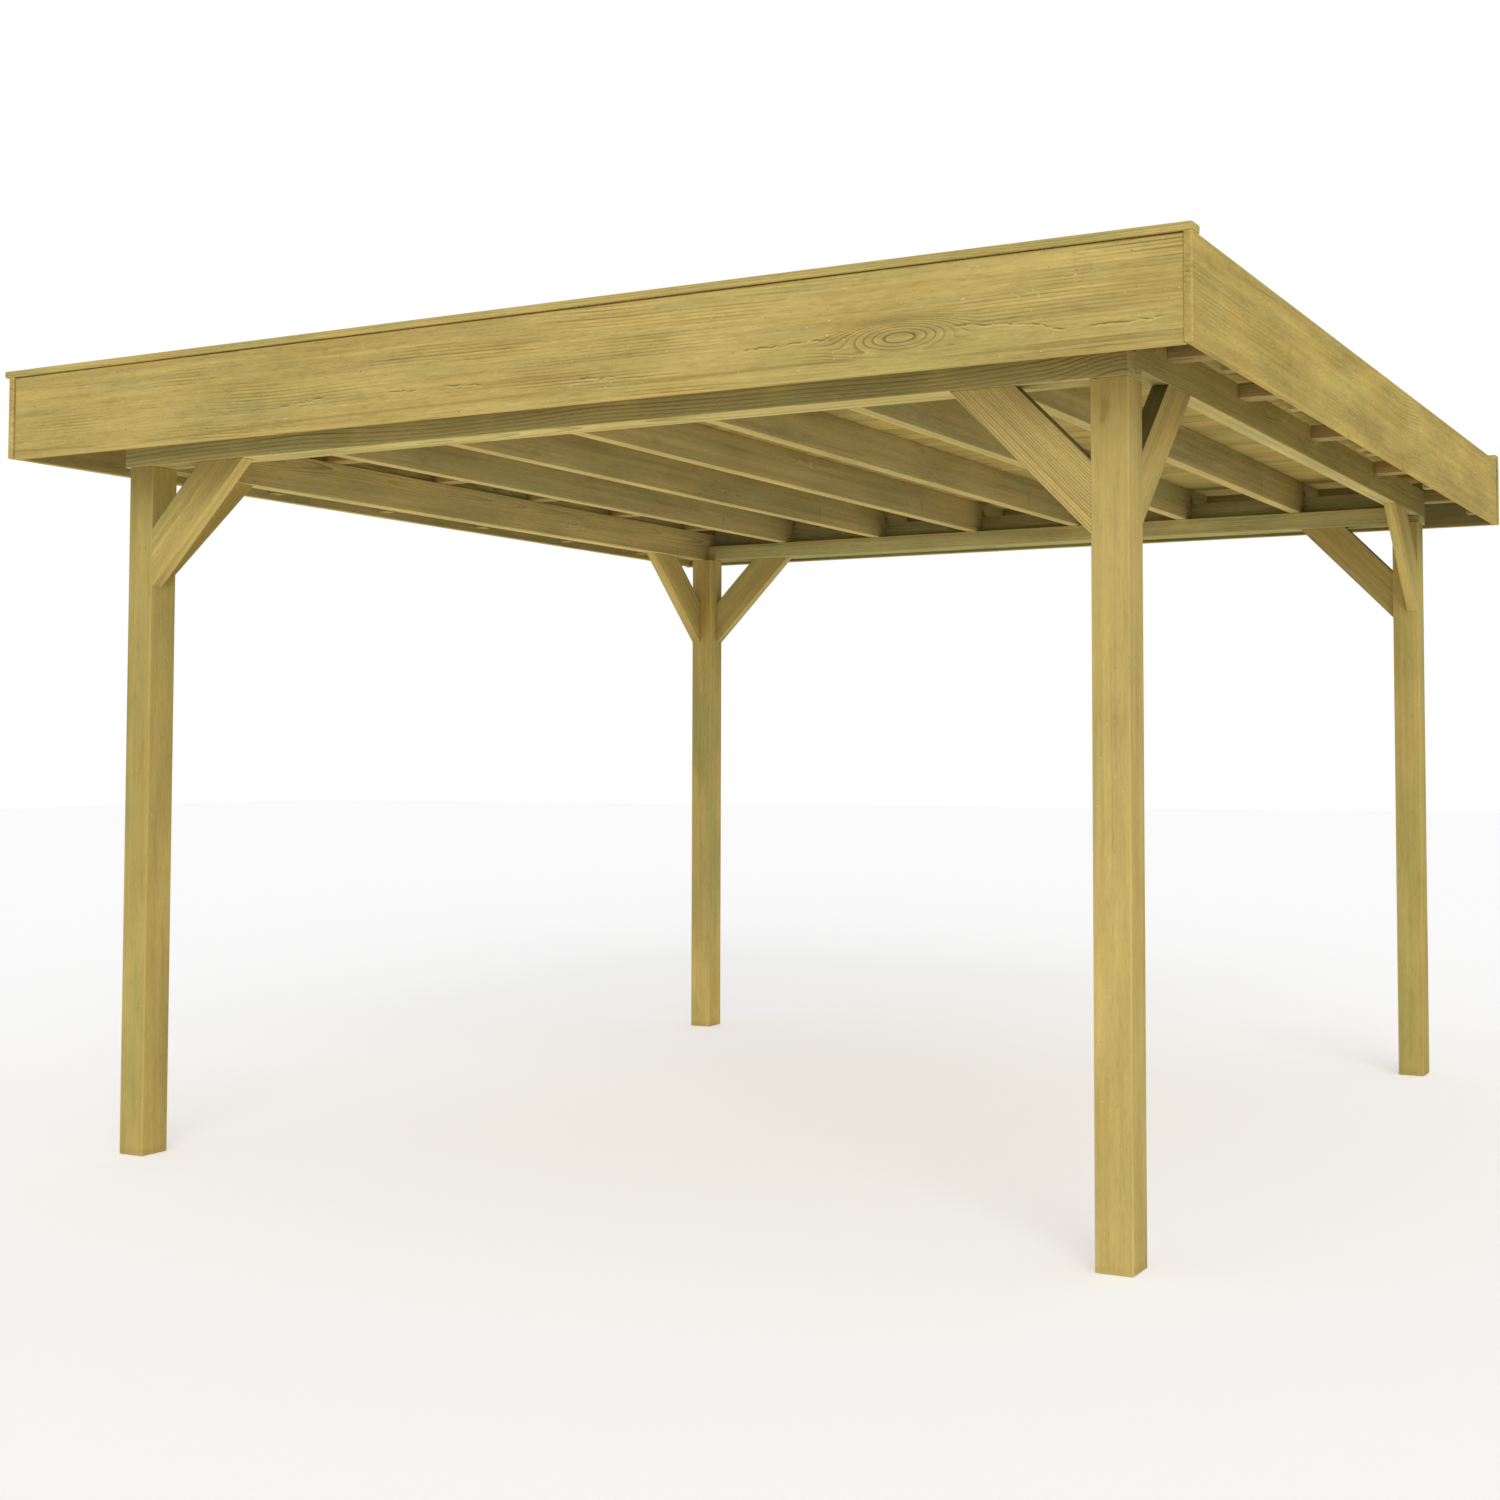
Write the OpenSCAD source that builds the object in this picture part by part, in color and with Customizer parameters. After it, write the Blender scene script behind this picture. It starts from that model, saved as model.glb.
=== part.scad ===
// Flat-roofed garden pavilion: four posts, a ring of beams, rafters, braces,
// a boarded roof and a deep fascia all round. Millimetres, +Z up.
// The origin lies on the ground, at the centre of the roof's outline.

/* [Posts and plan] */
// Width of the frame over the outer faces of the posts, left to right
frame_w = 3400; // [2400:10:4800]
// Depth of the frame over the outer faces of the posts, front to back
frame_d = 3416; // [2400:10:4800]
// Side of a square post
post_side = 100; // [80:1:140]
// Height of a post, from the ground to the underside of the beams
post_h = 2185; // [1900:5:2600]

/* [Beams] */
// Height of the front and back beams
cross_beam_h = 68; // [50:1:120]
// Depth of the front and back beams, front to back
cross_beam_t = 100; // [80:1:140]
// How far the front beam runs past the left post
cross_beam_past = 22; // [0:1:60]
// How far the back beam and the side beams run out behind the back posts
back_past = 44; // [0:1:50]
// Thickness of the side beams
side_beam_t = 60; // [45:1:90]
// Depth of the housing that the side beams have in the front beam
housing = 40; // [20:1:60]
// Height of the top of the left side beam above the posts
left_beam_top = 128; // [100:1:160]
// Height of the top of the right side beam above the posts
right_beam_top = 138; // [110:1:180]
// How high the right side beam stands above the post tops
right_beam_lift = 29; // [0:1:40]

/* [Rafters] */
// Thickness of a rafter
rafter_t = 45; // [36:1:60]
// Height of a rafter
rafter_h = 130; // [110:1:180]
// Thickness of a blocking board
blocking_t = 40; // [18:1:60]
// Height of a blocking board
blocking_h = 70; // [50:1:100]

/* [Braces] */
// Thickness of a brace
brace_t = 45; // [36:1:60]
// Width of the brace's board
brace_board = 131; // [90:1:160]
// Length of the longer leg of a brace, along the post and along the beam
brace_leg = 387; // [300:1:600]

/* [Roof edge] */
// How far the side fascias stand out from the posts
side_eave = 251; // [150:1:400]
// How far the side fascias reach in front of the front posts
front_eave = 258; // [150:1:400]
// How far the side fascias reach behind the back posts
back_eave = 234; // [150:1:400]
// Thickness of a fascia board
fascia_t = 22; // [18:1:40]
// Height of the fascias' upper edge above the post tops
fascia_top = 269; // [200:1:360]
// Height of the front and back fascia boards
fascia_h = 260; // [180:1:320]
// Height of the side fascia boards
side_fascia_h = 258; // [180:1:320]
// Height of the groove along the front fascia, under the capping batten
groove_h = 4; // [0:1:10]
// Depth of that groove
groove_d = 6; // [0:1:10]
// How far the front fascia stands back from the ends of the side fascias
fascia_recess = 6; // [0:1:15]
// How far the back fascia runs past the side fascias
back_fascia_past = 5; // [0:1:40]
// Thickness of the capping battens, which lie on the fascias
cap_t = 21; // [15:1:40]
// Depth of a capping batten, front to back
cap_w = 60; // [45:1:90]
// How far the front capping batten runs past the left fascia
cap_past = 22; // [0:1:40]

/* [Lookouts] */
// Width of a lookout, front to back
lookout_w = 70; // [50:1:100]
// Height of a lookout
lookout_h = 44; // [36:1:60]
// Distance from the front of the posts to the first left lookout
left_lookout_from = 246; // [150:1:400]
// Distance from the front of the posts to the first right lookout
right_lookout_from = 295; // [150:1:400]
// Height of the cleats' lower ends above the post tops
cleat_lift = 29; // [10:1:80]
// Size of a cleat, front to back and on the left side also across
cleat_side = 44; // [30:1:60]
// Size of a right cleat, left to right
right_cleat_w = 55; // [30:1:80]

/* [Roof] */
// Thickness of the roof boards
board_t = 18; // [16:1:28]
// Thickness of the roof covering
covering_t = 3; // [2:1:6]

/* [Hidden] */

pine = "#c9b46a";
pine_dark = "#ad9a58";
pine_board = "#d6c077";
felt = "#3c3f40";

// Plan: the outer faces of the posts
left = (max(cap_past, back_fascia_past) - back_fascia_past - frame_w) / 2;
right = left + frame_w;
roof_d = front_eave + frame_d + back_eave + fascia_t;
front = front_eave - roof_d / 2;
back = front + frame_d;

// Heights
beam_z = post_h;
rafter_z = beam_z + cross_beam_h;
deck_z = rafter_z + rafter_h;
left_top_z = beam_z + left_beam_top;
right_top_z = beam_z + right_beam_top;
right_beam_z = beam_z + right_beam_lift;
cap_z = beam_z + fascia_top;
fascia_z = cap_z - fascia_h;
side_fascia_z = cap_z - side_fascia_h;
cleat_z = beam_z + cleat_lift;
right_lookout_z = right_top_z - lookout_h;

// Faces of the roof edge
eave_left = left - side_eave;
eave_right = right + side_eave;
eave_front = front - front_eave;
eave_back = back + back_eave;
front_fascia_y = eave_front + fascia_recess;
inner_front = front_fascia_y + fascia_t;

// The back beam and the ends of the side beams
back_beam_y = back + back_past - cross_beam_t;
side_beam_y = front + cross_beam_t - housing;
side_beam_len = back + back_past - side_beam_y;

// Bays between the right faces of neighbouring rafters, one more than the rafters
bays = 7;
bay = frame_w / bays;

// Front faces of the six left lookouts, evenly spaced
left_pitch = (frame_d - 2 * left_lookout_from) / 5;
left_lookout_y = [for (i = [0 : 5]) front + left_lookout_from + i * left_pitch];

// Front faces of the right lookouts and of the free right cleats, as shares of the
// way from the first lookout to the last, which stands behind the beam's end
right_first = front + right_lookout_from;
right_run = back + back_past - right_first;
right_lookout_y = [for (share = [0, 0.196, 0.447, 0.722, 1]) right_first + share * right_run];
right_cleat_y = [for (share = [-0.032, 0.161, 0.409, 0.981]) right_first + share * right_run];

module post(x, y) {
    color(pine) translate([x, y, 0]) cube([post_side, post_side, post_h]);
}

// Room that a side beam takes out of the front beam, above height z
module side_beam_housing(x, z) {
    translate([x, side_beam_y, z]) cube([side_beam_t, housing, 2 * cross_beam_h]);
}

module beam_front() {
    color(pine) difference() {
        translate([left - cross_beam_past, front, beam_z])
            cube([frame_w + cross_beam_past, cross_beam_t, cross_beam_h]);
        side_beam_housing(left, beam_z);
        side_beam_housing(right - side_beam_t, right_beam_z);
    }
}

module beam_back() {
    color(pine) difference() {
        translate([left + side_beam_t, back_beam_y, beam_z])
            cube([frame_w - side_beam_t, cross_beam_t, cross_beam_h]);
        translate([right - side_beam_t, back_beam_y, right_beam_z])
            cube([side_beam_t, cross_beam_t, cross_beam_h]);
    }
}

// A side beam from height z up to height top
module side_beam(x, z, top) {
    color(pine) translate([x, side_beam_y, z]) cube([side_beam_t, side_beam_len, top - z]);
}

// Rafter number i, counted from the left
module rafter(i) {
    color(pine) translate([left + i * bay - rafter_t, inner_front, rafter_z])
        cube([rafter_t, eave_back - inner_front, rafter_h]);
}

// Outline of a brace in its own plane: the post is at x = 0, the beam at y = 0
module brace_outline() {
    reach = brace_leg - brace_board * sqrt(2);
    polygon([[0, -brace_leg], [brace_leg, 0], [reach, 0], [0, -reach]]);
}

// A brace that stands against a post's side and under a beam, running towards +X
module brace(z) {
    color(pine) translate([0, 0, z]) rotate([90, 0, 0]) linear_extrude(brace_t) brace_outline();
}

// One row of blocking between the rafters, its front face at y
module blocking_row(y) {
    color(pine_dark) for (i = [0 : bays - 1]) {
        start = i == 0 ? left + side_beam_t : left + i * bay;
        end = i == bays - 1 ? right - side_beam_t : left + (i + 1) * bay - rafter_t;
        translate([start, y, rafter_z]) cube([end - start, blocking_t, blocking_h]);
    }
}

// Blocking that stands on the left beam, between the lookouts
module blocking_left() {
    ends = concat(left_lookout_y, [side_beam_y + side_beam_len]);
    color(pine_dark) for (i = [0 : len(ends) - 1]) {
        start = i == 0 ? side_beam_y : ends[i - 1] + lookout_w;
        translate([left, start, left_top_z])
            cube([blocking_t, ends[i] - start, deck_z - left_top_z]);
    }
}

// Left lookout number i, counted from the front: it lies on the left beam and
// runs from the fascia to the first rafter
module lookout_left(i) {
    color(pine_dark) translate([eave_left + fascia_t, left_lookout_y[i - 1], left_top_z])
        cube([side_eave - fascia_t + bay - rafter_t, lookout_w, lookout_h]);
}

// Right lookout number i, counted from the front: it butts against the beam's
// outer face, and the last one passes behind the beam's end
module lookout_right(i) {
    inward = i == len(right_lookout_y) ? side_beam_t : 0;
    color(pine_dark) translate([right - inward, right_lookout_y[i - 1], right_lookout_z])
        cube([side_eave - fascia_t + inward, lookout_w, lookout_h]);
}

// A row of upright cleats of width w at x, one at each y, from the cleats' lower
// end up to height top
module cleat_row(x, w, ys, top) {
    for (y = ys) translate([x, y, cleat_z]) cube([w, cleat_side, top - cleat_z]);
}

// Cleats on the inside of the side fascias: one under each left lookout and under
// the third and fourth right ones, and four that reach up to the roof boards
module cleats() {
    right_x = eave_right - fascia_t - right_cleat_w;
    color(pine_dark) {
        cleat_row(eave_left + fascia_t, cleat_side, left_lookout_y, left_top_z);
        cleat_row(right_x, right_cleat_w, [right_lookout_y[2], right_lookout_y[3]],
            right_lookout_z);
        cleat_row(right_x, right_cleat_w, right_cleat_y, deck_z);
    }
}

module fascia_front() {
    length = frame_w + 2 * (side_eave - fascia_t);
    color(pine) translate([eave_left + fascia_t, front_fascia_y, fascia_z]) {
        cube([length, fascia_t, fascia_h - groove_h]);
        translate([0, groove_d, 0]) cube([length, fascia_t - groove_d, fascia_h]);
    }
}

module fascia_back() {
    color(pine) translate([eave_left - back_fascia_past, eave_back, fascia_z])
        cube([frame_w + 2 * (side_eave + back_fascia_past), fascia_t, fascia_h]);
}

module fascia_side(x) {
    color(pine) translate([x, eave_front, side_fascia_z])
        cube([fascia_t, eave_back - eave_front, side_fascia_h]);
}

// A capping batten across the side fascias, past them by the given amounts
module cap(y, past_left, past_right) {
    color(pine) translate([eave_left - past_left, y, cap_z])
        cube([frame_w + 2 * side_eave + past_left + past_right, cap_w, cap_t]);
}

module roof_sheet(z, t) {
    translate([eave_left + fascia_t, inner_front, z])
        cube([frame_w + 2 * (side_eave - fascia_t), eave_back - inner_front, t]);
}

module roof_boards() {
    color(pine_board) roof_sheet(deck_z, board_t);
}

module roof_covering() {
    color(felt) roof_sheet(deck_z + board_t, covering_t);
}

post(left, front);  // post_front_left
post(right - post_side, front);  // post_front_right
post(left, back - post_side);  // post_back_left
post(right - post_side, back - post_side);  // post_back_right

beam_front();
beam_back();
side_beam(left, beam_z, left_top_z);  // beam_left
side_beam(right - side_beam_t, right_beam_z, right_top_z);  // beam_right

rafter(1);  // rafter_1
rafter(2);  // rafter_2
rafter(3);  // rafter_3
rafter(4);  // rafter_4
rafter(5);  // rafter_5
rafter(6);  // rafter_6

translate([left + post_side, front + brace_t, 0]) brace(beam_z);  // brace_front_left
translate([right - post_side, front + brace_t, 0]) mirror([1, 0, 0]) brace(beam_z);  // brace_front_right
translate([left + post_side, back, 0]) brace(beam_z);  // brace_back_left
translate([right - post_side, back, 0]) mirror([1, 0, 0]) brace(beam_z);  // brace_back_right
translate([left, front + post_side, 0]) rotate([0, 0, 90]) brace(beam_z);  // brace_left_front
translate([left, back - post_side, 0]) mirror([0, 1, 0]) rotate([0, 0, 90]) brace(beam_z);  // brace_left_back
translate([right - brace_t, front + post_side, 0]) rotate([0, 0, 90]) brace(right_beam_z);  // brace_right_front
translate([right - brace_t, back - post_side, 0])  // brace_right_back
        mirror([0, 1, 0]) rotate([0, 0, 90]) brace(right_beam_z);

blocking_row(front);  // blocking_front
blocking_row(back + back_past - blocking_t);  // blocking_back

blocking_left();

lookout_left(1);  // lookout_left_1
lookout_left(2);  // lookout_left_2
lookout_left(3);  // lookout_left_3
lookout_left(4);  // lookout_left_4
lookout_left(5);  // lookout_left_5
lookout_left(6);  // lookout_left_6
lookout_right(1);  // lookout_right_1
lookout_right(2);  // lookout_right_2
lookout_right(3);  // lookout_right_3
lookout_right(4);  // lookout_right_4
lookout_right(5);  // lookout_right_5
cleats();

fascia_front();
fascia_back();
fascia_side(eave_left);  // fascia_left
fascia_side(eave_right - fascia_t);  // fascia_right
cap(eave_front, cap_past, 0);  // cap_front
cap(eave_back + fascia_t - cap_w, back_fascia_past, back_fascia_past);  // cap_back

roof_boards();
roof_covering();
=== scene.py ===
import math
import random

import bmesh
import bpy
from mathutils import Matrix, Vector


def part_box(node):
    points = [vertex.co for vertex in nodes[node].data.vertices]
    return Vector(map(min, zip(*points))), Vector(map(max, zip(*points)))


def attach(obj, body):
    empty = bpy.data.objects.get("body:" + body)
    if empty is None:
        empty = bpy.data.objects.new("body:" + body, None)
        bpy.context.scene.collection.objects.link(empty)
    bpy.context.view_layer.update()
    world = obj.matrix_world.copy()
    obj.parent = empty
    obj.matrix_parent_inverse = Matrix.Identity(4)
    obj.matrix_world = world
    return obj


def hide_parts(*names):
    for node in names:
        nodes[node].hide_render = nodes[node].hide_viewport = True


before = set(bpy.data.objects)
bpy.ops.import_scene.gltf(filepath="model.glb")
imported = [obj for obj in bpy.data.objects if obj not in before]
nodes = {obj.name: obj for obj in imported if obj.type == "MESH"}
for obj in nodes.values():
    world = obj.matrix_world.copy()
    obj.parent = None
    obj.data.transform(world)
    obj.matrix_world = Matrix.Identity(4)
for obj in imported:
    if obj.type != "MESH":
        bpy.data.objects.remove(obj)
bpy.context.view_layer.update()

scene = bpy.context.scene

X, Y, Z = Vector((1, 0, 0)), Vector((0, 1, 0)), Vector((0, 0, 1))

# Radii of the eased arrises, in metres
EDGE = 0.003
CAP_EDGE = 0.0055

# Tints of the pine, as shares of the early wood's red, green and blue
LATE_WOOD = (0.46, 0.40, 0.31)
# Also the colour of spots of painted shade
KNOT_AND_SHADE_SPOT = (0.50, 0.42, 0.34)
SOFT_LINE = (0.58, 0.58, 0.5)
CHECK = (0.34, 0.27, 0.2)
# Painted highlight on the lower lip of a check
CHECK_LIP_HIGHLIGHT = (1.3, 1.3, 1.5)
RESIN = (1.5, 1.55, 2.6)
PIT = (0.4, 0.33, 0.25)
# Painted highlight along the arrises
ARRIS_HIGHLIGHT = (1.22, 1.19, 1.12)
# Tints laid over the colour that is there
GREEN_STAIN = (0.885, 0.955, 0.95)
BROWN_STAIN = (1.01, 0.965, 0.90)
BLOT = (0.72, 0.655, 0.50)
# Painted shade: the braces' upper faces, which lie in shade under the roof, drawn darker
BRACE_TOP_PAINTED_SHADE = (0.33, 0.38, 0.50)


# ---------------------------------------------------------------- node trees

class Shade:
    """A material's node tree, built one operation at a time."""

    def __init__(self, name, roughness, specular=0.3):
        self.mat = bpy.data.materials.new(name)
        self.mat.use_nodes = True
        self.tree = self.mat.node_tree
        self.bsdf = self.tree.nodes["Principled BSDF"]
        self.bsdf.inputs["Roughness"].default_value = roughness
        self.bsdf.inputs["Specular IOR Level"].default_value = specular

    def plug(self, value, socket):
        if isinstance(value, bpy.types.NodeSocket):
            self.tree.links.new(value, socket)
        elif isinstance(value, (tuple, list, Vector)) and socket.type == "RGBA":
            socket.default_value = (*value[:3], 1)
        else:
            socket.default_value = value

    def calc(self, op, *args, clamp=False):
        made = self.tree.nodes.new("ShaderNodeMath")
        made.operation = op
        made.use_clamp = clamp
        for value, socket in zip(args, made.inputs):
            self.plug(value, socket)
        return made.outputs[0]

    def vec(self, op, *args):
        made = self.tree.nodes.new("ShaderNodeVectorMath")
        made.operation = op
        sockets = [made.inputs[0], made.inputs["Scale"]] if op == "SCALE" else made.inputs
        for value, socket in zip(args, sockets):
            self.plug(value, socket)
        return made.outputs["Value" if op in ("LENGTH", "DISTANCE", "DOT_PRODUCT") else "Vector"]

    def noise(self, vector, detail=2.0, rough=0.5, output="Fac"):
        made = self.tree.nodes.new("ShaderNodeTexNoise")
        made.inputs["Scale"].default_value = 1
        made.inputs["Detail"].default_value = detail
        made.inputs["Roughness"].default_value = rough
        self.plug(vector, made.inputs["Vector"])
        return made.outputs[output]

    def band(self, value, low, high, to_low=0.0, to_high=1.0, smooth=True):
        made = self.tree.nodes.new("ShaderNodeMapRange")
        made.interpolation_type = "SMOOTHSTEP" if smooth else "LINEAR"
        for key, number in (("Value", value), ("From Min", low), ("From Max", high),
                            ("To Min", to_low), ("To Max", to_high)):
            self.plug(number, made.inputs[key])
        return made.outputs["Result"]

    def mix(self, factor, a, b, blend="MIX"):
        made = self.tree.nodes.new("ShaderNodeMix")
        made.data_type = "RGBA"
        made.blend_type = blend
        self.plug(factor, made.inputs[0])
        self.plug(a, made.inputs[6])
        self.plug(b, made.inputs[7])
        return made.outputs[2]

    def tinted(self, factor, colour, tint):
        """The colour, multiplied by the tint as far as the factor says."""
        return self.mix(factor, colour, self.mix(1.0, colour, tint, "MULTIPLY"))

    def split(self, vector):
        made = self.tree.nodes.new("ShaderNodeSeparateXYZ")
        self.plug(vector, made.inputs[0])
        return made.outputs

    def object_point(self):
        return self.tree.nodes.new("ShaderNodeTexCoord").outputs["Object"]

    def turned(self, vector, rows, shift):
        """The vector in the axes given as rows, moved by shift."""
        made = self.tree.nodes.new("ShaderNodeMapping")
        made.inputs["Location"].default_value = shift
        made.inputs["Rotation"].default_value = Matrix(rows).to_euler("XYZ")
        self.plug(vector, made.inputs["Vector"])
        return made.outputs[0]

    def chance(self, value):
        """A white noise node that gives each whole number of value its own draw."""
        made = self.tree.nodes.new("ShaderNodeTexWhiteNoise")
        made.noise_dimensions = "1D"
        self.plug(self.calc("FLOOR", value), made.inputs["W"])
        return made.outputs

    def bump(self, height, strength, distance):
        made = self.tree.nodes.new("ShaderNodeBump")
        self.plug(strength, made.inputs["Strength"])
        made.inputs["Distance"].default_value = distance
        self.plug(height, made.inputs["Height"])
        self.plug(made.outputs[0], self.bsdf.inputs["Normal"])


def shade_of(tone, factors, limit=math.inf):
    return tuple(min(limit, t * k) for t, k in zip(tone, factors))


def pine(name, rows, centre, half, pith, tone, ring=0.0055, figure=1.0, relief=1.0, patch=0.0,
         bend=0.06, specks=0.0, moss=1.0, rough=1.0, mottle=1.0, blots=0.0,
         knots_and_shade_spots=(), eyes=(), cracks=(), lines=(), zones=(), faces=(), boards=None):
    """Planed, pressure-treated pine, cut from a trunk whose pith runs along rows[0].

    rows: the grain direction, the width direction and the thickness direction
    centre, half: middle of the piece, and its half sizes along rows, in metres
    pith: where the pith lies from the middle, along the width and the thickness
    tone: colour of the early wood; ring: width of a year ring
    figure, relief: strength of the rings in colour and in the surface
    patch: how far the rings fade between the patches where they show
    bend: how far the pith wanders
    specks: share of small resin specks and pits
    moss: strength of the green and brown stains; rough: strength of the fibres' dashes
    mottle: strength of the light and dark patches; blots: strength of the small rough marks
    knots_and_shade_spots: (place, half length, half height, strength), soft brown knots, and spots
    of painted shade drawn the same way
    eyes: (place, half length, half height, rings), swirls of the grain
    cracks: (one end, other end), checks in the surface along the grain
    lines: (one end, other end, half width), single soft dark lines
    zones: (place, half length, half height), where the rings show fully
    faces: (direction, distance from the origin, tint), painted light and shade: faces drawn
    lighter or darker than the rest
    boards: (start, pitch) of boards that lie side by side along Y, each from its own trunk
    """
    rng = random.Random(name)
    s = Shade(name, 0.85, 0.03)
    turn = Matrix(rows)
    local = s.turned(s.object_point(), rows, -(turn @ centre))
    seed = Vector([rng.uniform(3, 40) for _ in range(3)])
    sample = s.vec("ADD", local, seed)
    if boards:
        start, pitch = boards
        place = s.calc("DIVIDE", s.calc("SUBTRACT", s.split(s.object_point())[1], start), pitch)
        board = s.chance(place)
        shift = s.vec("SUBTRACT", board["Color"], (0.5, 0.5, 0.5))
        local = s.vec("ADD", local, s.vec("MULTIPLY", shift, (6, 0.3, 0.03)))
        sample = s.vec("ADD", sample, s.vec("MULTIPLY", shift, (9, 5, 5)))

    def stretched(along, across, detail=1.0, rough=0.5, output="Fac"):
        return s.noise(s.vec("MULTIPLY", sample, (along, across, across)), detail, rough, output)

    def around(place, *spread):
        """1 at the place, fading over the spread along, across and through the piece, with
        the distance in spreads and the vector from the place."""
        gap = s.vec("SUBTRACT", local, turn @ (place - centre))
        far = s.vec("LENGTH", s.vec("DIVIDE", gap, spread))
        return s.band(far, 2.2, 0.0), far, gap

    # Year rings: distance from a pith that wanders a little along the trunk. They close
    # round the middle of an eye, and swing round a knot
    drift = s.vec("SUBTRACT", stretched(0.9, 2.4, 1, output="Color"), (0.5, 0.5, 0.5))
    along, across = s.split(local)[:2]
    trunk, rise = local, 0.0
    for place, length, height, rings in eyes:
        swell, far, gap = around(place, length, height, 0.05)
        calm = s.band(far, 2.6, 1.1, 0, 0.95)
        trunk = s.vec("SUBTRACT", trunk, s.vec("MULTIPLY", s.vec("SCALE", gap, calm), (0, 1, 0)))
        rise = s.calc("ADD", rise, s.calc("MULTIPLY", swell, rings))
    spots = []
    for place, length, height, deep in knots_and_shade_spots:
        swell, far, _ = around(place, length, height, 0.04)
        rise = s.calc("ADD", rise, swell)
        spots.append((far, deep))
    from_pith = s.vec("ADD", s.vec("SUBTRACT", trunk, (0, pith[0], pith[1])),
                      s.vec("MULTIPLY", drift, (0, bend, bend)))
    radius = s.vec("LENGTH", s.vec("MULTIPLY", from_pith, (0, 1, 1)))
    taper = s.calc("MULTIPLY", along, rng.choice((-1, 1)) * rng.uniform(0.006, 0.012))
    phase = s.calc("DIVIDE", s.calc("ADD", radius, taper), ring)
    phase = s.calc("ADD", phase, s.calc("MULTIPLY", s.split(drift)[0], 4.0))
    phase = s.calc("ADD", phase, rise)

    saw = s.calc("FRACT", phase)
    late = s.band(saw, 0.56, 0.93)
    # Just after each late wood band: a dip in the surface, and a painted highlight in the colour
    ring_edge_and_highlight = s.band(saw, 0.30, 0.0)
    year = s.chance(phase)
    strength = s.band(year["Value"], 0, 1, 0.35, 1.0, smooth=False)
    stain = s.split(stretched(2.0, 8, 1, 0.65, "Color"))
    ridge = s.calc("MULTIPLY", s.calc("SUBTRACT", late, ring_edge_and_highlight), 0.6 * relief)
    shown = s.band(stain[0], 0.50, 0.68, 1 - patch, 1.0) if patch else 1.0
    for place, length, height in zones:
        shown = s.calc("MAXIMUM", shown, around(place, length, height, 0.05)[0])
    late = s.calc("MULTIPLY", late, s.calc("MULTIPLY", strength, shown))
    ring_edge_and_highlight = s.calc("MULTIPLY", ring_edge_and_highlight, s.calc("MULTIPLY", strength, shown))

    # Colour
    fibre = stretched(26, 250, 1, 0.7)
    streak = stretched(1.4, 60, 1, 0.6)
    colour = s.mix(s.calc("MULTIPLY", late, 0.85 * figure), tone, shade_of(tone, LATE_WOOD))
    # Painted highlight: a paler line just after each late wood band, so that the rings look raised
    light = s.calc("ADD", 1.0, s.calc("MULTIPLY", ring_edge_and_highlight, 0.20 * figure))
    light = s.calc("SUBTRACT", light, s.band(fibre, 0.55, 0.78, 0, 0.20 * rough))
    light = s.calc("ADD", light, s.band(fibre, 0.45, 0.24, 0, 0.13 * rough))
    for source, low, high, most in ((streak, 0.25, 0.75, 0.13 * rough),
                                    (stain[2], 0.3, 0.7, 0.11 * mottle)):
        light = s.calc("ADD", light, s.band(source, low, high, -most, most, smooth=False))
    if blots:
        marks = stretched(12, 48, 2, 0.7)
        light = s.calc("ADD", light, s.band(marks, 0.45, 0.30, 0, 0.16 * blots))
    if boards:
        light = s.calc("ADD", light, s.band(board["Value"], 0, 1, -0.1, 0.1, smooth=False))
    colour = s.vec("SCALE", colour, light)
    colour = s.tinted(s.band(stain[1], 0.48, 0.64, 0, moss), colour, GREEN_STAIN)
    colour = s.tinted(s.band(stain[1], 0.46, 0.32, 0, moss), colour, BROWN_STAIN)
    if blots:
        colour = s.tinted(s.band(marks, 0.52, 0.70, 0, 0.75 * blots), colour, BLOT)

    # Soft brown knots with ragged edges, and spots of painted shade drawn the same way
    for far, deep in spots:
        ragged = s.calc("ADD", far, s.calc("MULTIPLY", s.calc("SUBTRACT", fibre, 0.5), 0.9))
        colour = s.mix(s.band(ragged, 1.0, 0.1, 0, deep), colour, shade_of(tone, KNOT_AND_SHADE_SPOT))

    def beside(start, end, wander, fade):
        """The distance across from the line, and a factor that is 1 between its two ends."""
        first, last = sorted((turn @ (p - centre) for p in (start, end)), key=lambda p: p[0])
        slope = (last[1] - first[1]) / (last[0] - first[0])
        line = s.calc("ADD", s.calc("MULTIPLY", s.calc("SUBTRACT", along, first[0]), slope),
                      s.calc("ADD", wander, first[1]))
        inside = s.calc("MULTIPLY", s.band(along, first[0] - fade, first[0] + fade),
                        s.band(along, last[0] + fade, last[0] - fade))
        return s.calc("SUBTRACT", across, line), inside

    # Single soft dark lines
    if lines:
        wave = s.calc("MULTIPLY", s.split(drift)[1], 0.02)
    for start, end, width in lines:
        off, inside = beside(start, end, wave, 0.05)
        inside = s.calc("MULTIPLY", inside, s.band(s.calc("ABSOLUTE", off), width, 0.0))
        colour = s.mix(s.calc("MULTIPLY", inside, 0.6), colour, shade_of(tone, SOFT_LINE))

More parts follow.
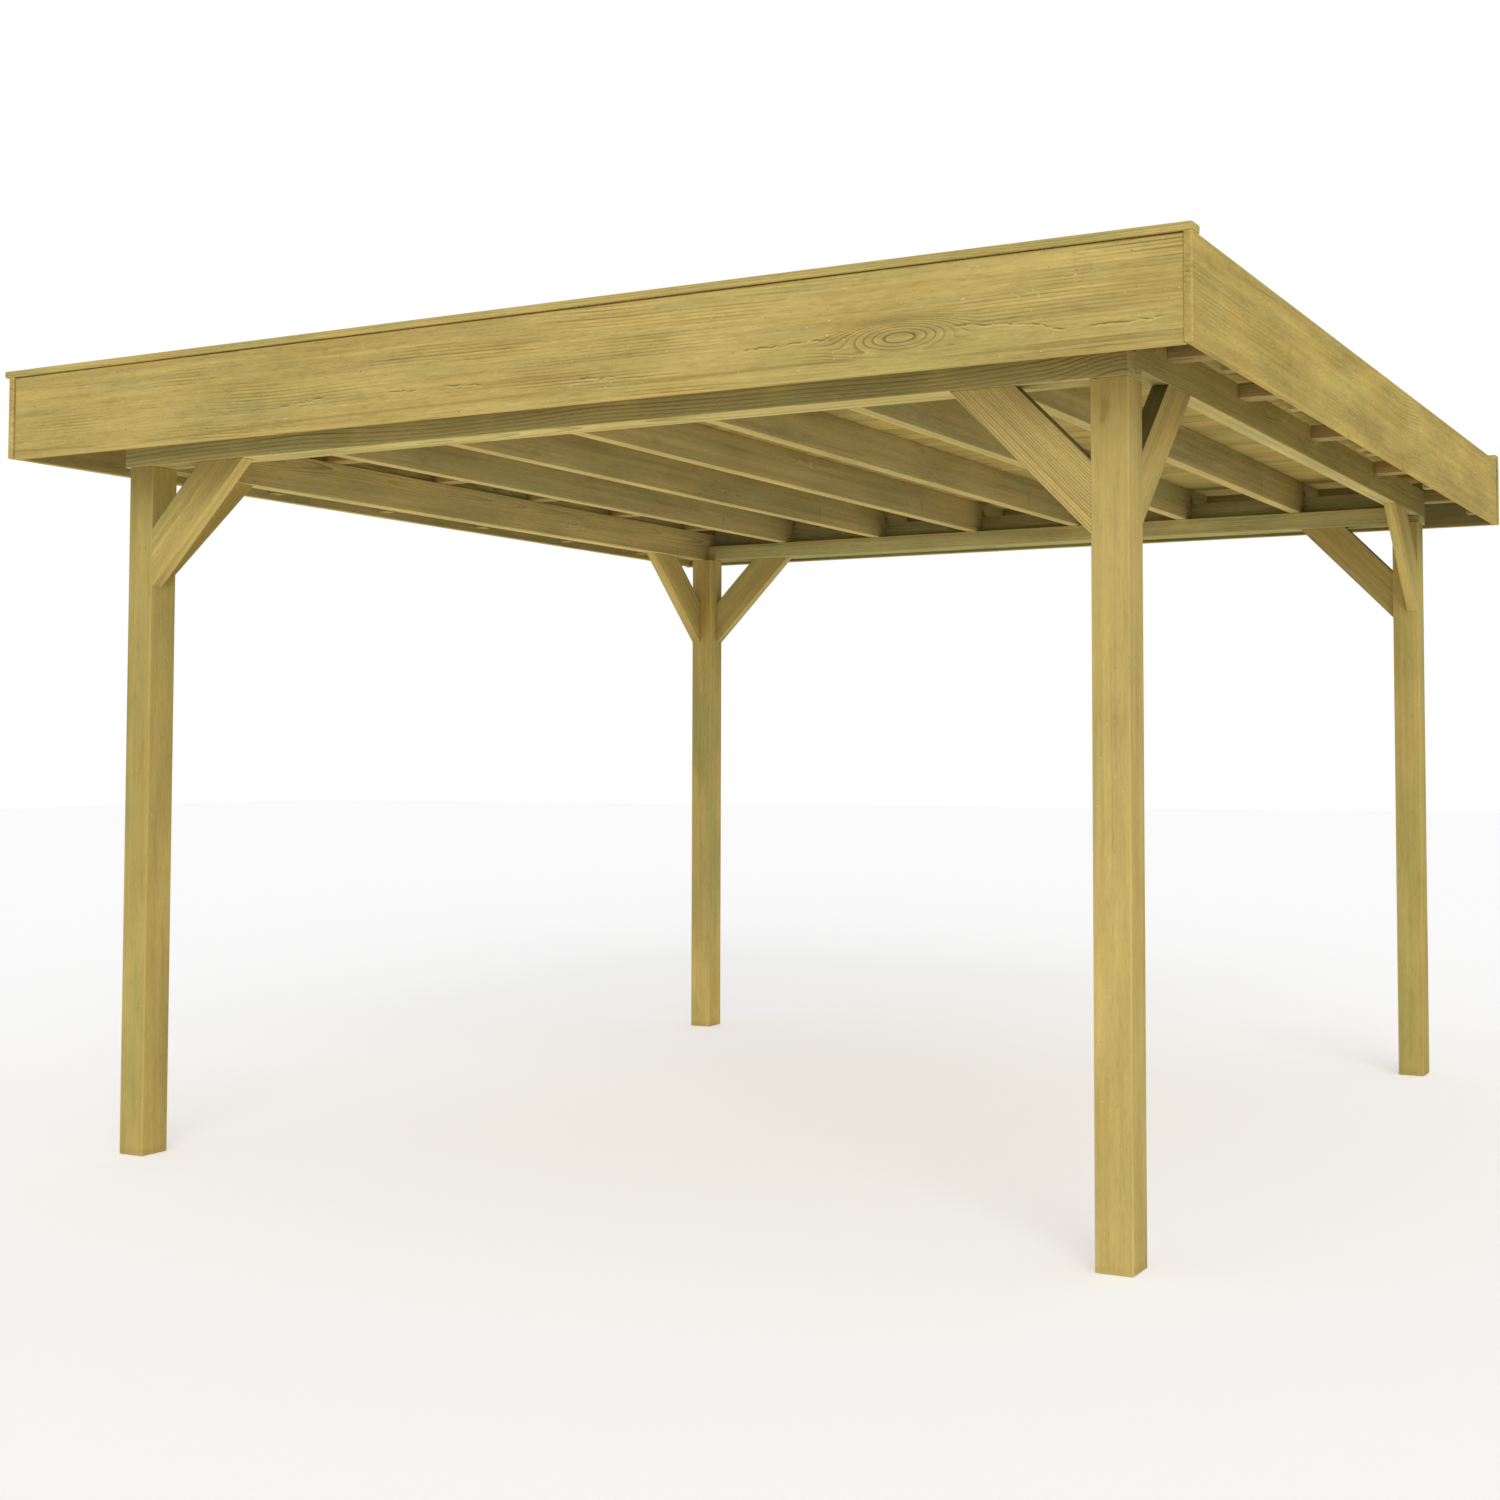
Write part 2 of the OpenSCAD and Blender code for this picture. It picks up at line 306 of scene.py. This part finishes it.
    # Checks: thin ragged lines, dark, with a painted highlight on the pale lower lip
    if cracks:
        jitter = s.calc("MULTIPLY", s.calc("SUBTRACT", stretched(26, 0.2, 3, 0.7), 0.5), 0.022)
    for start, end in cracks:
        off, inside = beside(start, end, jitter, 0.015)
        split = s.calc("MULTIPLY", inside, s.band(s.calc("ABSOLUTE", off), 0.0030, 0.0008))
        lip_highlight = s.calc("MULTIPLY", inside,
                     s.band(s.calc("ABSOLUTE", s.calc("ADD", off, 0.0045)), 0.0032, 0.0010))
        broken = s.band(fibre, 0.40, 0.55)
        colour = s.mix(s.calc("MULTIPLY", s.calc("MULTIPLY", split, broken), 0.75), colour,
                       shade_of(tone, CHECK))
        colour = s.mix(s.calc("MULTIPLY", lip_highlight, 0.55), colour, shade_of(tone, CHECK_LIP_HIGHLIGHT))

    if specks:
        dust = stretched(110, 190, 0)
        colour = s.mix(s.band(dust, 0.86 - specks, 0.90 - specks, 0, 0.8), colour,
                       shade_of(tone, RESIN, limit=0.9))
        colour = s.mix(s.band(dust, 0.12 + specks, 0.09 + specks, 0, 0.6), colour,
                       shade_of(tone, PIT))

    # Painted light and shade: whole faces drawn lighter or darker than the rest
    for direction, distance, tint in faces:
        reach = s.vec("DOT_PRODUCT", s.object_point(), direction)
        colour = s.tinted(s.band(reach, distance - 0.002, distance - 0.001), colour, tint)

    # Painted highlight: paler arrises, patchy along the streaks. Near one, the two lesser depths
    # under the faces are both small
    if half:
        depth = s.vec("SUBTRACT", half, s.vec("ABSOLUTE", local))
        parts = s.split(depth)
        deepest = s.calc("MAXIMUM", s.calc("MAXIMUM", parts[0], parts[1]), parts[2])
        from_arris = s.calc("SUBTRACT", s.vec("DOT_PRODUCT", depth, (1, 1, 1)), deepest)
        arris_highlight = s.calc("MULTIPLY", s.band(from_arris, 1.8 * EDGE, 0.4 * EDGE),
                      s.band(streak, 0.35, 0.6, 0.25, 0.7, smooth=False))
        colour = s.mix(arris_highlight, colour, shade_of(tone, ARRIS_HIGHLIGHT, limit=1))
    s.plug(colour, s.bsdf.inputs["Base Color"])

    if relief:
        s.bump(s.calc("SUBTRACT", ridge, s.calc("MULTIPLY", fibre, 0.5)),
               s.calc("MULTIPLY", shown, 0.8), 0.0012)
    return s.mat


# ---------------------------------------------------------------- the timber

def ease(piece, radius):
    """Rounds the piece's arrises."""
    weld = piece.modifiers.new("weld", "WELD")
    weld.merge_threshold = 0.00005
    bevel = piece.modifiers.new("arris", "BEVEL")
    bevel.width = radius
    bevel.segments = 3
    bevel.limit_method = "ANGLE"
    bevel.angle_limit = math.radians(30)
    bevel.harden_normals = True
    for face in piece.data.polygons:
        face.use_smooth = True


def box_axes(node):
    """Grain, width and thickness directions of a straight piece, its middle and half sizes."""
    low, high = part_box(node)
    half = (high - low) / 2
    order = sorted(range(3), key=lambda i: -half[i])
    axes = [(X, Y, Z)[i] for i in order]
    if axes[0].cross(axes[1]).dot(axes[2]) < 0:
        axes[2] = -axes[2]
    return axes, (low + high) / 2, [half[i] for i in order]


CORNER = Vector((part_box("post_front_left")[0].x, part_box("post_front_left")[0].y, 0))


def at(x, y, z):
    """The point so many millimetres right of, behind and above the front left post's corner."""
    return CORNER + Vector((x, y, z)) / 1000


# How each kind of timber looks, and what single pieces have of their own
LOOKS = {
    "fascia": dict(tone=(0.655, 0.50, 0.165), patch=0.9, figure=1.1, relief=1.5, ring=0.0095,
                   bend=0.05, specks=0.03, blots=0.4, moss=0.7),
    "cap": dict(tone=(0.71, 0.54, 0.180), figure=0.5),
    "post": dict(tone=(0.61, 0.47, 0.152), figure=0.15, patch=0.8, ring=0.007, bend=0.05,
                 specks=0.035, rough=0.6, blots=0.3),
    "beam": dict(tone=(0.56, 0.445, 0.180), figure=0.9, patch=0.5, moss=0.6),
    "rafter": dict(tone=(0.508, 0.417, 0.178), figure=0.4, patch=0.6, relief=0, moss=0.8),
    "brace": dict(tone=(0.62, 0.47, 0.155), figure=0.4, patch=0.6),
    "blocking": dict(tone=(0.41, 0.37, 0.165), figure=0.9, relief=0),
    "lookout": dict(tone=(0.47, 0.345, 0.140), figure=0.9, relief=0),
    "cleats": dict(tone=(0.49, 0.385, 0.155), figure=0.8, relief=0),
}
FRONT, RIGHT = -252, 3651          # outer faces of the front and the right fascia
FEATURES = {
    "fascia_front": dict(
        eyes=[(at(2900, FRONT, 2279), 0.098, 0.027, 6.0)],
        zones=[(at(3290, FRONT, 2325), 0.26, 0.030), (at(2905, FRONT, 2280), 0.15, 0.04),
               (at(3430, FRONT, 2215), 0.22, 0.018), (at(2150, FRONT, 2330), 0.20, 0.03),
               (at(1000, FRONT, 2290), 0.25, 0.025), (at(30, FRONT, 2290), 0.09, 0.025)],
        lines=[(at(-230, FRONT, 2218), at(130, FRONT, 2210), 0.006),
               (at(300, FRONT, 2208), at(850, FRONT, 2222), 0.007),
               (at(850, FRONT, 2222), at(1800, FRONT, 2232), 0.006),
               (at(2150, FRONT, 2236), at(2760, FRONT, 2232), 0.007),
               (at(3000, FRONT, 2216), at(3560, FRONT, 2222), 0.006)],
        cracks=[(at(3050, FRONT, 2291), at(3233, FRONT, 2281)),
                (at(3233, FRONT, 2281), at(3335, FRONT, 2255)),
                (at(3400, FRONT, 2257), at(3575, FRONT, 2262)),
                (at(885, FRONT, 2271), at(1050, FRONT, 2281)),
                (at(1940, FRONT, 2262), at(2060, FRONT, 2254)),
                (at(1290, FRONT, 2279), at(1400, FRONT, 2276)),
                (at(1490, FRONT, 2279), at(1610, FRONT, 2275)),
                (at(2420, FRONT, 2286), at(2700, FRONT, 2296))]),
    # Painted shade: the left fascia's inner face drawn darker
    "fascia_left": dict(faces=[(X, (0.66, 0.68, 0.78))], figure=0.6),
    # Painted shade: the back fascia's inner face drawn darker
    "fascia_back": dict(faces=[(-Y, (0.48, 0.54, 0.68))]),
    "fascia_right": dict(tone=(0.635, 0.48, 0.145), figure=0.5, patch=0.95, bend=0.10, ring=0.011,
                         rough=1.0, mottle=1.2, moss=0.6, blots=0.4,
                         zones=[(at(RIGHT, -100, 2320), 0.16, 0.07)]),
    "post_front_right": dict(tone=(0.70, 0.535, 0.180), moss=0.4,
                             knots_and_shade_spots=[(at(3339, 0, 2114), 0.04, 0.022, 0.45),
                                    (at(3331, 0, 2080), 0.025, 0.013, 0.4)]),
    # Painted light: a paler tone than the other posts, lifting the shadow that the roof casts on
    # it
    "post_back_left": dict(tone=(0.715, 0.557, 0.190)),
    # Painted light: a paler tone than the other braces, lifting the shade that the fascia casts on
    # it
    "brace_front_right": dict(tone=(0.745, 0.565, 0.197), figure=1.1, relief=2.0, patch=0,
                              ring=0.0060, bend=0.014, moss=0.2),
    # Painted light: a paler tone than the other braces, lifting the shade that the fascia casts on
    # it
    "brace_front_left": dict(tone=(0.72, 0.55, 0.182), figure=0.25),
    "brace_back_right": dict(tone=(0.55, 0.44, 0.160)),
    "brace_back_left": dict(tone=(0.57, 0.46, 0.165)),
    "beam_front": dict(tone=(0.59, 0.50, 0.198), figure=1.1, ring=0.010, bend=0.09, patch=0.3,
                       # Painted light: its underside drawn lighter
                       faces=[(-Z, (1.13, 1.09, 1.02))],
                       eyes=[(at(3390, 0, 2218), 0.10, 0.022, 3.0)]),
    # Painted shade: its underside drawn darker
    "beam_back": dict(tone=(0.63, 0.55, 0.235), faces=[(-Z, (0.68, 0.74, 0.62))]),
    # Painted light: its underside drawn lighter
    "beam_left": dict(tone=(0.64, 0.512, 0.207), faces=[(-Z, (1.09, 1.09, 1.02))],
                      eyes=[(at(60, 2300, 2250), 0.05, 0.02, 4.0)]),
    # Painted light: its underside drawn lighter
    "beam_right": dict(tone=(0.485, 0.40, 0.134), faces=[(-Z, (1.25, 1.25, 1.45))]),
}

# Marks that every rafter has on its right side, drawn as knots: y, z, half length, half height,
# strength. The last is painted shade: a dark spot in the corner just above the back blocking
RAFTER_MARKS_AND_SHADE_SPOT = ((835, 2288, 0.05, 0.022, 0.22), (1825, 2356, 0.04, 0.02, 0.25),
                (2810, 2300, 0.014, 0.045, 0.35), (3430, 2343, 0.016, 0.022, 1.0))
for name in (n for n in nodes if n.startswith("rafter_")):
    marks = []
    for y, z, length, height, deep in RAFTER_MARKS_AND_SHADE_SPOT:
        place = at(0, y, z)
        place.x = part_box(name)[1].x
        marks.append((place, length, height, deep))
    # Painted light: the rafters' undersides drawn lighter
    FEATURES[name] = dict(knots_and_shade_spots=marks, faces=[(-Z, (1.18, 1.13, 0.98))])


def set_material(piece, material):
    piece.data.materials.clear()
    piece.data.materials.append(material)
    for face in piece.data.polygons:
        face.material_index = 0


BRACE_GRAIN = {
    "brace_front_left": X + Z, "brace_front_right": Z - X,
    "brace_back_left": X + Z, "brace_back_right": Z - X,
    "brace_left_front": Y + Z, "brace_left_back": Z - Y,
    "brace_right_front": Y + Z, "brace_right_back": Z - Y,
}

for name, node in nodes.items():
    kind = name.split("_")[0]
    if kind == "roof":
        continue
    axes, centre, half = box_axes(name)
    # The pith lies a little past the back of the piece, and further off for a post or a fascia
    rng = random.Random(name + " pith")
    pith = (rng.uniform(-0.5, 0.5) * half[1], half[2] + rng.uniform(0.01, 0.05))
    if kind == "post":
        pith = (rng.choice((-1, 1)) * rng.uniform(0.06, 0.09), rng.uniform(0.05, 0.08))
    if kind == "fascia":
        pith = (rng.choice((-1, 1)) * rng.uniform(0.20, 0.30), 0.05)
    if kind == "brace":
        grain = BRACE_GRAIN[name].normalized()
        thick = Y if abs(grain.x) > 0.1 else X
        axes = [grain, thick.cross(grain), thick]
        half = None
    elif kind == "cleats":
        axes, half = [Z, X, Y], None
    elif kind == "blocking":
        half = None
    look = dict(LOOKS[kind], **FEATURES.get(name, {}))
    if kind == "brace":
        # Painted shade: each brace's upper face is drawn darker
        look["faces"] = [(axes[1] if axes[1].z > 0 else -axes[1], BRACE_TOP_PAINTED_SHADE)]
    look["faces"] = [(direction, max(direction.dot(v.co) for v in node.data.vertices), tint)
                     for direction, tint in look.get("faces", ())]
    set_material(node, pine(name, axes, centre, half, pith, **look))
    ease(node, CAP_EDGE if kind == "cap" else EDGE)


# ---------------------------------------------------------------- the roof

def new_piece(name, mesh, material, stands_for):
    piece = bpy.data.objects.new(name, mesh)
    scene.collection.objects.link(piece)
    mesh.materials.append(material)
    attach(piece, "root")
    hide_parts(stands_for)
    return piece


# Boards that run from side to side, with a V joint on their undersides
BOARD = 0.108          # width of a board, about
V_JOINT = 0.0035
BOARD_GAP = 0.0003     # half the gap between two boards
low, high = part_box("roof_boards")
count = round((high.y - low.y) / BOARD)
pitch = (high.y - low.y) / count
edit = bmesh.new()
for number in range(count):
    y0, y1 = low.y + number * pitch + BOARD_GAP, low.y + (number + 1) * pitch - BOARD_GAP
    outline = ((y0 + V_JOINT, low.z), (y1 - V_JOINT, low.z), (y1, low.z + V_JOINT),
               (y1, high.z), (y0, high.z), (y0, low.z + V_JOINT))
    ends = [[edit.verts.new((x, y, z)) for y, z in outline] for x in (low.x, high.x)]
    edit.faces.new(ends[0])
    edit.faces.new(reversed(ends[1]))
    for i in range(len(outline)):
        j = (i + 1) % len(outline)
        edit.faces.new((ends[0][j], ends[0][i], ends[1][i], ends[1][j]))
bmesh.ops.recalc_face_normals(edit, faces=edit.faces)
mesh = bpy.data.meshes.new("roof_boarding")
edit.to_mesh(mesh)
edit.free()
new_piece("roof_boarding", mesh,
          pine("roof_boarding", [X, Y, Z], (low + high) / 2, None, (0, 0.05),
               tone=(0.465, 0.355, 0.115), figure=0.6, relief=0, boards=(low.y, pitch)),
          "roof_boards")

# A rubber sheet that is turned up against the fascias
UPSTAND = 0.040
SHEET_T = 0.0014
SHEET_WAVE = 0.0014    # height of its unevenness
SHEET_EDGE = 0.001     # gap between the sheet and the fascias
SHEET_LIFT = 0.0002    # gap under the sheet
SHEET_CELLS = 48
low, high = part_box("roof_covering")
edit = bmesh.new()
bmesh.ops.create_grid(edit, x_segments=SHEET_CELLS, y_segments=SHEET_CELLS, size=0.5)
size = high - low
for vert in edit.verts:
    u, v = vert.co.x + 0.5, vert.co.y + 0.5
    inside = min(1, 12 * min(u, 1 - u, v, 1 - v))
    wave = 0.5 + 0.25 * math.sin(9 * u + 3 * math.sin(5 * v)) + 0.25 * math.sin(13 * v + 4 * u)
    vert.co = (low.x + SHEET_EDGE + u * (size.x - 2 * SHEET_EDGE),
               low.y + SHEET_EDGE + v * (size.y - 2 * SHEET_EDGE),
               low.z + SHEET_LIFT + SHEET_WAVE * wave * inside)
rim = [e for e in edit.edges if e.is_boundary]
raised = bmesh.ops.extrude_edge_only(edit, edges=rim)["geom"]
for vert in (g for g in raised if isinstance(g, bmesh.types.BMVert)):
    vert.co.z = high.z + UPSTAND
bmesh.ops.recalc_face_normals(edit, faces=edit.faces)
mesh = bpy.data.meshes.new("roof_membrane")
edit.to_mesh(mesh)
edit.free()
covering = Shade("roof_membrane", 0.7, 0.35)
grit = covering.noise(covering.vec("SCALE", covering.object_point(), 700.0), 2)
dirt = covering.noise(covering.vec("SCALE", covering.object_point(), 3.0), 3, 0.6)
colour = covering.mix(grit, (0.030, 0.032, 0.034), (0.060, 0.061, 0.064))
colour = covering.mix(covering.band(dirt, 0.45, 0.7, 0, 0.5), colour, (0.10, 0.096, 0.085))
covering.plug(colour, covering.bsdf.inputs["Base Color"])
covering.bump(grit, 0.4, 0.0006)
membrane = new_piece("roof_membrane", mesh, covering.mat, "roof_covering")
for face in mesh.polygons:
    face.use_smooth = True
skin = membrane.modifiers.new("skin", "SOLIDIFY")
skin.thickness = SHEET_T
skin.offset = 1
turn_up = membrane.modifiers.new("turn_up", "BEVEL")
turn_up.width = 0.006
turn_up.segments = 3
turn_up.limit_method = "ANGLE"
turn_up.angle_limit = math.radians(50)

# ---------------------------------------------------------------- camera

CAMERA_ANGLES = (26.21, 2.53, -0.08)                   # yaw, pitch and roll in degrees
CAMERA_PLACE = Vector((5.0428, -4.4982, 1.2456))       # from the front left post's corner
cam_data = bpy.data.cameras.new("camera")
cam_data.lens = 46.98
cam_data.shift_x = -0.1129
cam_data.shift_y = -0.0517
cam = bpy.data.objects.new("camera", cam_data)
scene.collection.objects.link(cam)
scene.camera = cam
yaw, pitch, roll = (math.radians(angle) for angle in CAMERA_ANGLES)
fwd = Vector((-math.sin(yaw) * math.cos(pitch), math.cos(yaw) * math.cos(pitch),
              math.sin(pitch)))
right = Vector((math.cos(yaw), math.sin(yaw), 0))
up = right.cross(fwd)
turned_right = right * math.cos(roll) + up * math.sin(roll)
turned_up = -right * math.sin(roll) + up * math.cos(roll)
place = Matrix((turned_right, turned_up, -fwd)).transposed().to_4x4()
place.translation = CORNER + CAMERA_PLACE
cam.matrix_world = place

# ---------------------------------------------------------------- floor and light

FLOOR_HALF = 40
FLOOR_GLOW = 0.37      # what the camera sees beside the light on the floor, to make it white
SKY = 0.50             # light of the sky on the object; the camera sees 1, plain white
KEY_FROM = Vector((0.54, -0.74, 0.38))

floor_mesh = bpy.data.meshes.new("floor")
edit = bmesh.new()
bmesh.ops.create_grid(edit, x_segments=8, y_segments=8, size=FLOOR_HALF)
edit.to_mesh(floor_mesh)
edit.free()
floor = bpy.data.objects.new("floor", floor_mesh)
floor.location.z = -0.001
scene.collection.objects.link(floor)
ground = Shade("floor", 0.9, 0.1)
ground.bsdf.inputs["Base Color"].default_value = (0.93, 0.93, 0.93, 1)
seen = ground.tree.nodes.new("ShaderNodeLightPath").outputs["Is Camera Ray"]
glow = ground.tree.nodes.new("ShaderNodeEmission")
ground.plug(ground.calc("MULTIPLY", seen, FLOOR_GLOW), glow.inputs["Strength"])
both = ground.tree.nodes.new("ShaderNodeAddShader")
ground.plug(ground.bsdf.outputs[0], both.inputs[0])
ground.plug(glow.outputs[0], both.inputs[1])
ground.plug(both.outputs[0], ground.tree.nodes["Material Output"].inputs["Surface"])
floor_mesh.materials.append(ground.mat)

world = bpy.data.worlds.new("world")
scene.world = world
world.use_nodes = True
tree = world.node_tree
sky = tree.nodes["Background"]
sky.inputs["Color"].default_value = (1, 1, 1, 1)
path = tree.nodes.new("ShaderNodeLightPath")
either = path.outputs["Is Camera Ray"]
for key in ("Is Glossy Ray", "Is Transmission Ray"):
    most = tree.nodes.new("ShaderNodeMath")
    most.operation = "MAXIMUM"
    tree.links.new(either, most.inputs[0])
    tree.links.new(path.outputs[key], most.inputs[1])
    either = most.outputs[0]
level = tree.nodes.new("ShaderNodeMapRange")
level.inputs["To Min"].default_value = SKY
level.inputs["To Max"].default_value = 1.0
tree.links.new(either, level.inputs["Value"])
tree.links.new(level.outputs["Result"], sky.inputs["Strength"])

# A wide soft lamp on the ground lights the undersides
lamp_data = bpy.data.lights.new("under_light", "AREA")
lamp_data.shape = "RECTANGLE"
lamp_data.size = lamp_data.size_y = 4.6
lamp_data.energy = 21
lamp_data.color = (1.0, 0.97, 0.86)
lamp_data.spread = math.radians(70)
lamp = bpy.data.objects.new("under_light", lamp_data)
lamp.location.z = 0.02
lamp.rotation_euler = (math.pi, 0, 0)
lamp.visible_camera = False
scene.collection.objects.link(lamp)

key_data = bpy.data.lights.new("key_light", "SUN")
key_data.energy = 0.95
key_data.angle = math.radians(35)
key = bpy.data.objects.new("key_light", key_data)
key.rotation_euler = KEY_FROM.to_track_quat("Z", "Y").to_euler()
scene.collection.objects.link(key)

scene.view_settings.view_transform = "Standard"
